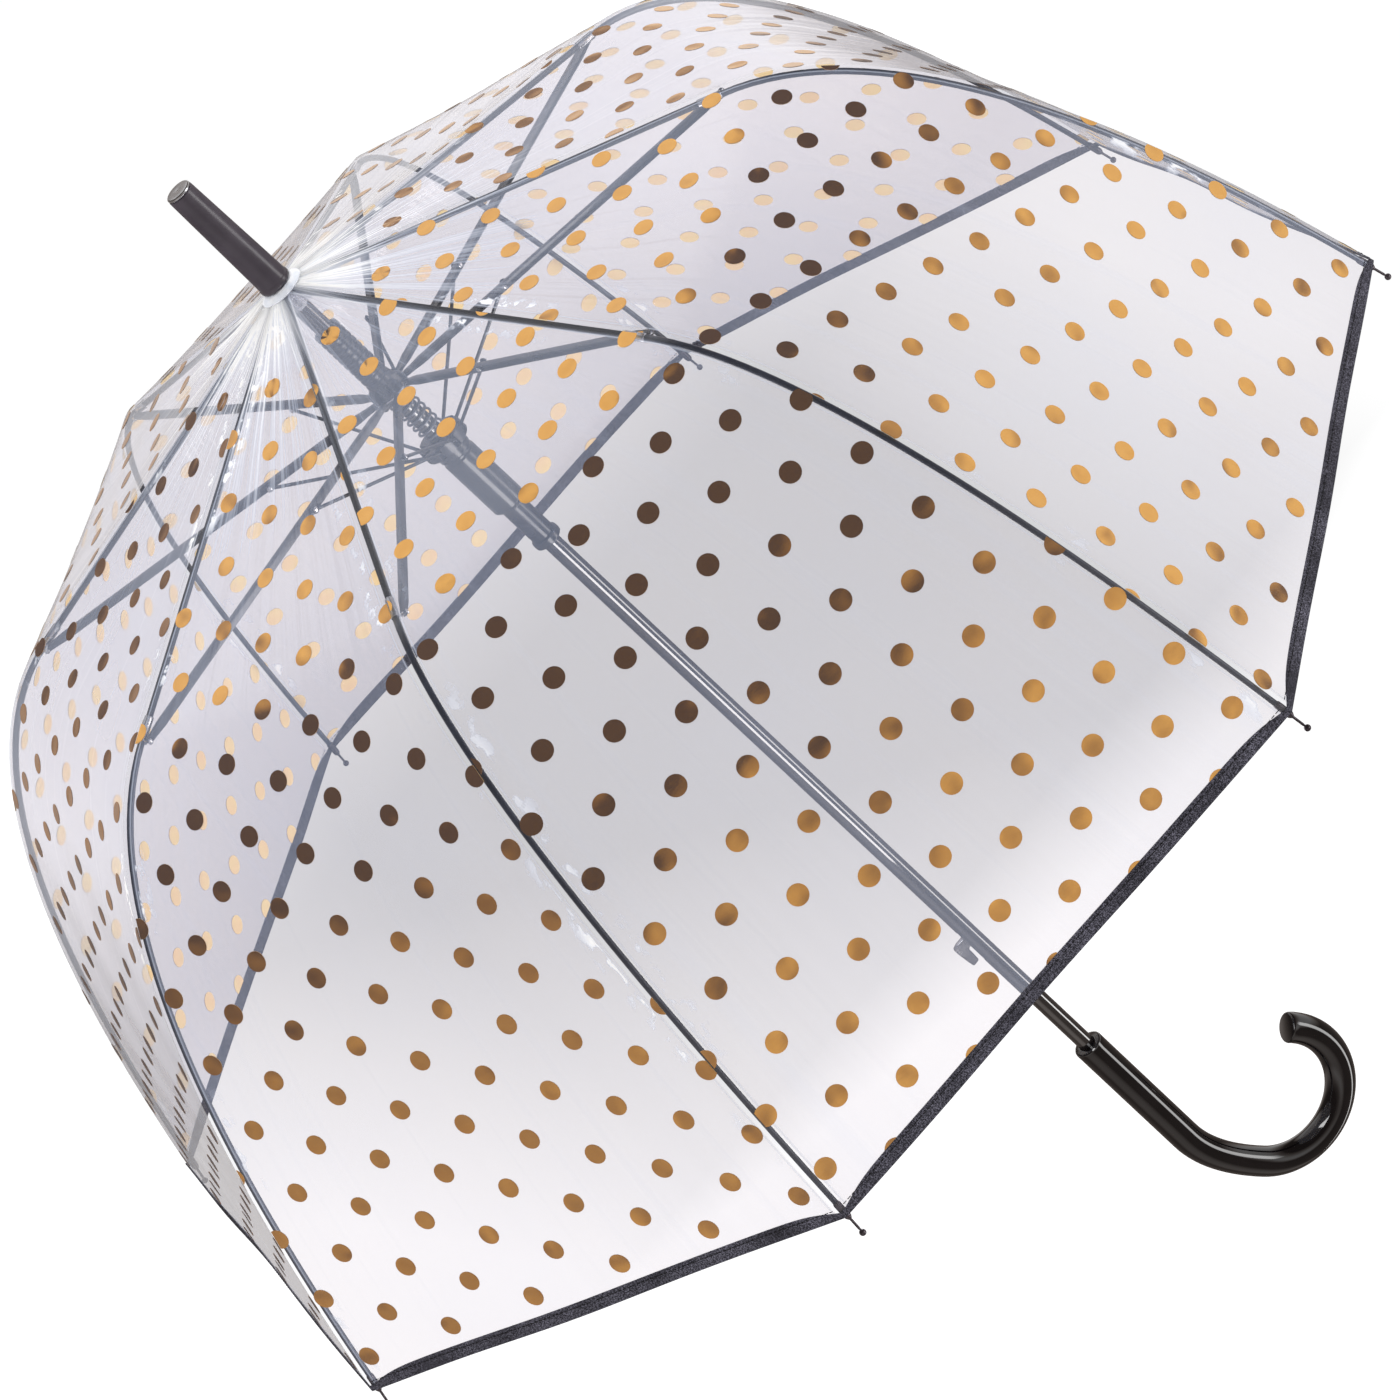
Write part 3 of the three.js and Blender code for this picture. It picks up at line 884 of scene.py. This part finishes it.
def rib_pieces(k):
    """The straight inner rod, its sleeve at the flex hinge, the bent outer rod and the tip."""
    along = (RIB_FLEX - RIB_PIVOT).normalized()
    path = [RIB_PIVOT - along * 0.002, RIB_PIVOT, RIB_FLEX - along * 0.0005]
    rod = make_at_rib("rib_rod", tube(path, RIB_RADIUS), RIB_BLACK, k, "rib")
    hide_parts(f"rib_{k + 1}")
    sleeve_path = [RIB_FLEX - along * d for d in (0.013, 0.0126, 0.0008, 0.0)]
    make_at_rib("rib_sleeve", tube(sleeve_path, 0.0023, 20, [0.9, 1, 1, 0.9]), BRIGHT, k, "rib")
    rows = 44
    outer = [rib_line(s) for s in rows_between(S_FLEX, S_HEM - 0.0075, rows + 1)]
    taper = [1 - 0.15 * i / rows for i in range(rows + 1)]
    end = make_at_rib("rib_spring", tube(outer, RIB_RADIUS, 16, taper), RIB_GREY, k, "rib_end")
    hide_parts(f"rib_end_{k + 1}")
    tip(k)


def tip(k):
    """The crimped metal tip with its neck and ball."""
    start = rib_line(S_HEM - 0.008)
    along = Vector((math.sin(HEM_FLARE), 0, -math.cos(HEM_FLARE)))
    outline = [(0.0, 0.0012), (0.0003, 0.0018), (0.0012, 0.0020), (0.0080, 0.0020), (0.0095, 0.0018),
               (0.0105, 0.0012), (0.0112, 0.0007), (0.0175, 0.0007)]
    ball = 0.0018
    centre = 0.0202
    for i in range(1, 12):
        angle = math.pi * i / 12
        reach = max(ball * math.sin(angle), 0.0002)
        outline.append((centre - ball * math.cos(angle), reach))
    path = [start + along * a for a, _ in outline]
    piece = make_at_rib("tip", tube(path, 1.0, 20, [r for _, r in outline]), TIP, k, "rib_end")
    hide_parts(f"rib_tip_{k + 1}")


def stretcher_end():
    """Where the stretcher meets the rib, in the rib's own plane."""
    along = (RIB_FLEX - RIB_PIVOT).normalized()
    below = Vector((along.z, 0, -along.x)) * STRETCHER_DROP
    return Vector((RIB_FLEX.x + below.x, STRETCHER_SIDE, RIB_FLEX.z + below.z))


STRETCHER_END = stretcher_end()
WIRE_END = UPPER_PIVOT.lerp(STRETCHER_END, WIRE_SHARE) + Vector((0, WIRE_SIDE - STRETCHER_SIDE, 0))


def channel_section(width, depth, wall):
    """A U section, open below."""
    half = width / 2
    top = depth / 2
    return rounded([
        (-half, -top), (-half, top), (half, top), (half, -top),
        (half - wall, -top), (half - wall, top - wall), (wall - half, top - wall), (wall - half, -top),
    ], 0.0006, 2)


def stretcher_piece(k):
    """A channel that narrows at both ends, with a rivet for its wire and one for its rib."""
    along = (STRETCHER_END - UPPER_PIVOT).normalized()
    length = (STRETCHER_END - UPPER_PIVOT).length
    stations = (0.0, 0.006, 0.012, 0.3 * length, 0.6 * length, length - 0.012, length - 0.005, length)
    path = [UPPER_PIVOT + along * d for d in stations]
    scales = [0.72, 0.78, 1.0, 1.0, 1.0, 1.0, 0.8, 0.74]
    section = channel_section(0.0044, 0.0032, 0.0007)
    piece = sharpen(make_at_rib("channel", swept(path, section, scales), CHANNEL, k, "stretcher"), 40)
    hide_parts(f"stretcher_{k + 1}")
    rivet("wire_rivet", WIRE_END, 0.0019, 0.0094, k)
    rivet("rib_rivet", STRETCHER_END, 0.0005, 0.0069, k)


def rivet(name, at, start, end, k):
    """A pin through a point, from start to end to the side of a rib's plane, with domed heads."""
    head = [(0.0, 0.3), (0.0003, 0.9), (0.0006, 1.0), (0.0007, 0.5)]
    stations = [(start + d, size) for d, size in head]
    stations += [(end - d, size) for d, size in reversed(head)]
    path = [Vector((at.x, y, at.z)) for y, _ in stations]
    sizes = [size for _, size in stations]
    make_at_rib(name, swept(path, circle(0.0016), sizes, UPWARD), BRIGHT, k, "stretcher")


def wire_piece(k):
    """The link from the runner to a stretcher, with an eye at each end."""
    along = (WIRE_END - RUNNER_PIVOT).normalized()
    length = (WIRE_END - RUNNER_PIVOT).length
    path = [RUNNER_PIVOT + along * d for d in rows_between(-0.0012, length + 0.0012, 16)]
    piece = make_at_rib("link", tube(path, 0.00095, 12), CHANNEL, k, "wire")
    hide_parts(f"wire_{k + 1}")
    for name, centre in (("link_eye_inner", RUNNER_PIVOT), ("link_eye_outer", WIRE_END)):
        eye = shape(add_ring, SIDEWAYS, centre, 0.0015, 0.0007)
        make_at_rib(name, eye, CHANNEL, k, "wire")


def add_ring(work, axis, centre, radius, thickness, steps=40):
    """A closed wire ring round an axis."""
    first = axis.orthogonal().normalized()
    second = axis.cross(first)
    path = []
    for i in range(steps):
        a = 2 * math.pi * i / steps
        path.append(centre + first * radius * math.cos(a) + second * radius * math.sin(a))
    add_swept(work, path, circle(thickness, 10), True, None, axis)


# ---- Shaft, hubs, ferrule and handle ----

def turned_piece(name, corners, material, body, stands_for, fillet=0.0004, sides=72):
    """A solid of revolution with its edges rounded, shown in place of a CAD node."""
    made = shape(add_turned, rounded(corners, fillet, 3), sides)
    piece = sharpen(make(name, made, material, body), 40)
    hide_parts(stands_for)
    return piece


def slotted(piece, start, side, width, low, high):
    """Cuts a slot for each rib into a hub."""
    cutters = []
    for k in range(RIBS):
        cutters.append(slot_box(FIRST_RIB + 2 * HALF * k, start, side, width, low, high))
    carve(piece, cutters)


def hub_wire(name, radius, z, body):
    """The wire ring that a hub's eyes are threaded on."""
    make(name, shape(add_ring, UPWARD, UPWARD * z, radius, 0.0005, 72), BRIGHT, body)


def crown_hub():
    """The clear hub at the top, which the ribs hinge in."""
    low = RIB_PIVOT_Z - 0.009
    high = RIB_PIVOT_Z + 0.001
    corners = [(0.0052, low), (0.0105, low), (0.0133, low + 0.0025), (0.0133, high), (0.0052, high)]
    piece = turned_piece("crown_hub", corners, CLEAR, "root", "crown")
    slotted(piece, 0.0083, 0.0, 0.0042, low - 0.001, high + 0.001)
    hub_wire("crown_wire", 0.0112, RIB_PIVOT_Z - 0.0006, "root")


def upper_hub():
    """The hub that the stretchers hinge in, and the grooved sleeve above it."""
    groove_pitch = 0.0042
    low = UPPER_PIVOT_Z - 0.0045
    high = UPPER_PIVOT_Z + 0.0045
    sleeve_top = HEM_Z + 0.342
    corners = [(0.0053, low), (0.0111, low), (0.0111, high), (0.0078, high + 0.003)]
    z = high + 0.006
    while z < sleeve_top - 0.004:
        corners += [(0.0075, z), (0.0069, z + 0.0005), (0.0069, z + 0.0014), (0.0075, z + 0.0019)]
        z += groove_pitch
    corners += [(0.0075, sleeve_top), (0.0053, sleeve_top)]
    piece = turned_piece("upper_hub", corners, HUB, "upper_runner", "upper_runner", 0.0003)
    slotted(piece, 0.007, STRETCHER_SIDE, 0.005, low - 0.001, high + 0.003)
    hub_wire("upper_hub_wire", 0.0108, UPPER_PIVOT_Z, "upper_runner")


def runner_hub():
    """The runner, which the wires hinge in, with its neck and its end ring."""
    pivot = RUNNER_PIVOT_Z
    neck_low = HEM_Z + 0.1745
    body_low = HEM_Z + 0.199
    corners = [
        (0.0055, neck_low), (0.0070, neck_low), (0.0070, body_low), (0.0098, body_low + 0.003),
        (0.0098, pivot - 0.0120), (0.0090, pivot - 0.0112), (0.0090, pivot - 0.0100),
        (0.0098, pivot - 0.0092), (0.0098, pivot - 0.0035), (0.0138, pivot - 0.0035),
        (0.0138, pivot + 0.0035), (0.0055, pivot + 0.0035),
    ]
    piece = turned_piece("runner_sleeve", corners, HUB, "runner", "runner", 0.0005)
    slotted(piece, 0.0065, WIRE_SIDE, 0.0027, pivot - 0.0032, pivot + 0.006)
    hub_wire("runner_wire", 0.0116, pivot, "runner")
    low = HEM_Z + 0.1695
    corners = [(0.0055, low), (0.0083, low), (0.0083, neck_low - 0.0003), (0.0055, neck_low - 0.0003)]
    turned_piece("runner_end_ring", corners, HUB, "runner", "runner_collar", 0.0012)


def spring_coil():
    """The opening spring between the two hubs, as a fixed coil with a mesh of its own."""
    low = RUNNER_PIVOT_Z + 0.0045
    high = UPPER_PIVOT_Z - 0.0055
    turns = 7
    steps = turns * 28
    radius = 0.0067
    path = []
    for i in range(steps + 1):
        a = 2 * math.pi * turns * i / steps
        path.append(Vector((radius * math.cos(a), radius * math.sin(a), low + (high - low) * i / steps)))
    coil = swept(path, circle(0.0007, 10), None, UPWARD)
    piece = make("spring_coil", coil, SPRING, "upper_runner")
    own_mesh(piece)
    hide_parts("opening_spring")


def shaft():
    """The tube, with a slot for the catch."""
    low = SHAFT_LOW_Z
    high = SHAFT_TOP_Z
    corners = [(SHAFT_BORE, low), (SHAFT_RADIUS, low), (SHAFT_RADIUS, high), (SHAFT_BORE, high)]
    piece = turned_piece("shaft", corners, SHAFT, "root", "shaft_tube", 0.0002, 64)
    catch_low, catch_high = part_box("runner_catch")
    room = 0.002                        # above and below the catch
    cut = slot_box(math.pi, 0.0, 0.0, 0.0036, catch_low[2] - room, catch_high[2] + room)
    carve(piece, [cut])


def catch():
    """The sprung tooth below the closed runner, a neck with a boot-shaped toe."""
    high = HEM_Z - 0.180
    outline = [
        (-0.0013, high), (-0.0044, high), (-0.0046, high - 0.0030), (-0.0090, high - 0.0028),
        (-0.0128, high - 0.0040), (-0.0129, high - 0.0085), (-0.0122, high - 0.0160),
        (-0.0116, high - 0.0203), (-0.0072, high - 0.0200), (-0.0067, high - 0.0150),
        (-0.0067, high - 0.0102), (-0.0042, high - 0.0098), (-0.0042, high - 0.0219),
        (-0.0013, high - 0.0219),
    ]
    smooth = rounded(outline, 0.0012, 4)
    verts = []
    for y, inset in ((-0.0015, 0.0004), (-0.0011, 0.0), (0.0011, 0.0), (0.0015, 0.0004)):
        for i, point in enumerate(smooth):
            p = Vector(point)
            along = (Vector(smooth[(i + 1) % len(smooth)]) - Vector(smooth[i - 1])).normalized()
            p = p + Vector((-along.y, along.x)) * inset
            verts.append(Vector((p.x, y, p.y)))
    wide = len(smooth)
    faces = [list(range(wide)), list(range(3 * wide, 4 * wide))[::-1]] + grid(4, wide, True)
    piece = sharpen(make("catch_tooth", (verts, faces), BRIGHT, "runner_catch"), 45)
    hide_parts("runner_catch")


def ferrule():
    """The ferrule, the bright nail in its end and the clear washer under it."""
    base = FERRULE_Z
    tip_z = base + FERRULE_LENGTH
    corners = [
        (0.0052, base), (0.0086, base), (0.0092, base + 0.0012), (0.0092, base + 0.0030),
        (0.0088, base + 0.0040), (0.0075, tip_z), (0.0052, tip_z),
    ]
    turned_piece("ferrule_body", corners, FERRULE, "root", "ferrule", 0.0006)
    low = tip_z - 0.004
    corners = [(0.0003, low), (0.0050, low), (0.0050, tip_z + 0.0003), (0.0073, tip_z + 0.0003),
               (0.0073, tip_z + 0.0014), (0.0066, tip_z + 0.0020), (0.0003, tip_z + 0.0020)]
    turned_piece("ferrule_nail", corners, BRIGHT, "root", "ferrule_cap", 0.0003)
    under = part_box("canopy_washer")[0][2]
    corners = [(0.0053, under + 0.0026), (0.0128, under), (0.0128, under + 0.0006), (0.0095, base - 0.0004),
               (0.0053, base - 0.0004)]
    turned_piece("canopy_rosette", corners, CLEAR, "root", "canopy_washer", 0.0002)


def crook_path():
    """The middle line of the handle: straight down, round a soft bend and along the arc."""
    straight_steps = 20
    bend_steps = 14
    arc_steps = 48
    centre = Vector((0.0537, 0, -0.0726))
    radius = 0.041
    start = math.radians(215)
    end = math.radians(400)
    first = centre + Vector((math.cos(start), 0, math.sin(start))) * radius
    bend = Vector((0, 0, first.z + first.x * math.cos(start) / math.sin(start)))
    top = Vector((0, 0, 0.049))
    straight_end = bend + Vector((0, 0, 0.024))
    path = [top.lerp(straight_end, i / straight_steps) for i in range(straight_steps)]
    path += [bezier([straight_end, bend, first], i / bend_steps) for i in range(bend_steps)]
    for a in rows_between(start, end, arc_steps + 1):
        path.append(centre + Vector((math.cos(a), 0, math.sin(a))) * radius)
    return path


def handle():
    """The crook: a straight grip that bends into an arc, with rounded ends and a socket for the shaft."""
    path = crook_path()
    top_cap = [(0.0, 0.86), (0.0003, 0.93), (0.0009, 0.98), (0.0018, 1.0)]
    end_cap = [(0.0040, 1.0), (0.0016, 1.0), (0.0007, 0.97), (0.0002, 0.92), (0.0, 0.86)]
    down = (path[1] - path[0]).normalized()
    outward = (path[-1] - path[-2]).normalized()
    line = [path[0] + down * d for d, _ in top_cap] + path[1:-3]
    line += [path[-1] - outward * d for d, _ in end_cap]
    scales = [s for _, s in top_cap] + [1.0] * (len(path) - 4) + [s for _, s in end_cap]
    crook = swept(line, circle(GRIP_RADIUS, 40), scales)
    piece = sharpen(make("crook_handle", crook, GRIP, "root"), 50)
    socket = shape(add_turned, [(0.0001, 0.018), (0.0053, 0.018), (0.0053, 0.06), (0.0001, 0.06)], 40)
    carve(piece, [socket])
    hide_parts("handle")


# ---- Studio and camera ----

def stage_quad(name, corners, material):
    """A flat piece of the studio, which is no part of the object."""
    quad = add_object(name, mesh_of(name, corners, [[0, 1, 2, 3]]))
    quad.data.materials.append(material)
    return quad


def glowing(name):
    """A black material that gives white light. Its strength is set by the caller."""
    material, tree, shader = blank_material(name)
    feed(shader, {"Base Color": (0, 0, 0, 1), "Emission Color": (1, 1, 1, 1)})
    return material, tree, shader


def studio():
    """A pale glowing floor with painted shade under the umbrella, a card and a room for the reflections, and
    four lamps.
    """
    half = FLOOR_HALF
    corners = [(-half, -half, FLOOR_Z), (half, -half, FLOOR_Z), (half, half, FLOOR_Z), (-half, half, FLOOR_Z)]
    stage_quad("floor", corners, floor_material()).visible_glossy = False
    reflector()
    sky()
    light("key", (2.2, -0.6, 1.6), (0, 0, 0.5), 0.7, 12)
    light("rim", (-2.2, 1.4, 1.6), (0, 0, 0.5), 0.9, 8)
    light("crown", (0.24, 0.02, 0.98), (0, 0, 0.71), 0.12, 0.75)
    light("crown_left", (-0.24, -0.14, 0.92), (0, 0, 0.70), 0.12, 0.5)


def floor_material():
    """A glowing backdrop with painted light and shade: greyest under the open side, brighter far back, at the
    left and outside the hem.
    """
    material, tree, shader = glowing("backdrop")
    place = coordinate(tree)
    x, y, _ = axes(place)
    corner = vector_maths("DOT_PRODUCT", place, (-0.8, -0.6, 0))
    painted_shades = (
        ramp(corner, 0.60, 0.90, -1.94, -1.29),
        ramp(x, 0.17, 0.0, -0.60, -0.25),
        ramp(x, 0.0, 0.25, 0.54, 0.94),
        ramp(y, 0.0, 0.24, 3.85, 4.60),
        ramp(y, 0.24, 0.0, 2.42, 2.62),
    )
    level = maths("MULTIPLY", added(*painted_shades), BACKDROP)
    feed(shader, {"Emission Strength": level, "Specular IOR Level": 0.0})
    return material


def reflector():
    """A tall narrow card before the shaft that shows only in reflections."""
    left, right = CARD_X
    low, high = CARD_Z
    corners = [(left, CARD_Y, high), (right, CARD_Y, high), (right, CARD_Y, low), (left, CARD_Y, low)]
    material, tree, shader = glowing("lit_card")
    glossy = node(tree, "ShaderNodeLightPath").outputs["Is Glossy Ray"]
    feed(shader, {"Emission Strength": maths("MULTIPLY", glossy, CARD_GLOW)})
    card = stage_quad("reflector", corners, material)
    for seen in ("camera", "diffuse", "transmission", "volume_scatter", "shadow"):
        setattr(card, "visible_" + seen, False)


def toward(place, direction):
    """The cosine of the angle between the sky's point and a direction."""
    return vector_maths("DOT_PRODUCT", place, Vector(direction).normalized())


def mirrored_room(tree):
    """What reflections show: dark walls, a white horizon, a softbox, a side panel and a bright strip lamp."""
    place = coordinate(tree, "Generated")
    x, _, height = axes(place)
    around = vector_maths("NORMALIZE", vector_maths("MULTIPLY", place, (1, 1, 0)))
    walls = ramp(height, 0.16, 0.085, -0.5, 0.3)
    horizon = times(between(height, -0.30, -0.12, 0.02, 0.42), ramp(x, 0.30, 0.85, -0.22, 0.30))
    softbox = ramp(toward(place, (0.1, 0.6, 0.79)), 0.0, 0.9, 0.85, 0.94)
    low = fall(height, -0.05, 0.2)
    panel = times(ramp(toward(around, (-0.75, -0.66, 0)), 0.0, 0.35, 0.80, 0.98), low)
    strip = times(rise(toward(around, (0.82, -0.57, 0)), 0.984, 0.992), low)
    return maths("MULTIPLY_ADD", strip, STRIP_GLOW, added(walls, horizon, softbox, panel))


def sky():
    """White light all round for the surfaces, and a room with lamps for their reflections."""
    world = bpy.data.worlds.new("studio")
    world.use_nodes = True
    bpy.context.scene.world = world
    tree = world.node_tree
    glossy = node(tree, "ShaderNodeLightPath").outputs["Is Glossy Ray"]
    inputs = {"Factor": glossy, "A": 1.0, "B": mirrored_room(tree)}
    strength = node(tree, "ShaderNodeMix", inputs, data_type="FLOAT").outputs["Result"]
    warmth = blend_colours(strength, (1.0, 0.80, 0.68, 1), (1.0, 0.99, 0.98, 1))
    feed(tree.nodes["Background"], {"Color": warmth, "Strength": strength})


def light(name, place, target, size, power):
    """A square lamp that points at a target and isn't seen in reflections."""
    data = bpy.data.lights.new(name, "AREA")
    data.size = size
    data.energy = power
    lamp = add_object(name, data)
    lamp.location = place
    lamp.visible_glossy = False
    lamp.rotation_euler = (Vector(target) - Vector(place)).to_track_quat("-Z", "Y").to_euler()


def camera():
    """A long lens from the ferrule's side, rolled so that the shaft runs down to the right."""
    azimuth = math.radians(3.24)
    elevation = math.radians(28.32)
    roll = math.radians(46.85)
    distance = 2.889
    target = Vector((0, 0, HEM_Z))
    forward = Vector((
        math.sin(azimuth) * math.cos(elevation),
        math.cos(azimuth) * math.cos(elevation),
        -math.sin(elevation),
    ))
    level = Vector((math.cos(azimuth), -math.sin(azimuth), 0))
    upright = level.cross(forward)
    right = level * math.cos(roll) - upright * math.sin(roll)
    up = level * math.sin(roll) + upright * math.cos(roll)
    data = bpy.data.cameras.new("camera")
    data.lens = 137.6
    data.sensor_width = 36.0
    data.shift_x = -0.0403
    data.shift_y = 0.0239
    data.clip_end = 200
    eye = add_object("camera", data)
    turn = Matrix((right, up, -forward)).transposed()
    eye.matrix_world = Matrix.Translation(target - forward * distance) @ turn.to_4x4()
    bpy.context.scene.camera = eye


camera()
studio()
for number in range(RIBS):
    canopy_round(number)
    rib_pieces(number)
    stretcher_piece(number)
    wire_piece(number)
crown_hub()
upper_hub()
runner_hub()
spring_coil()
shaft()
catch()
ferrule()
handle()
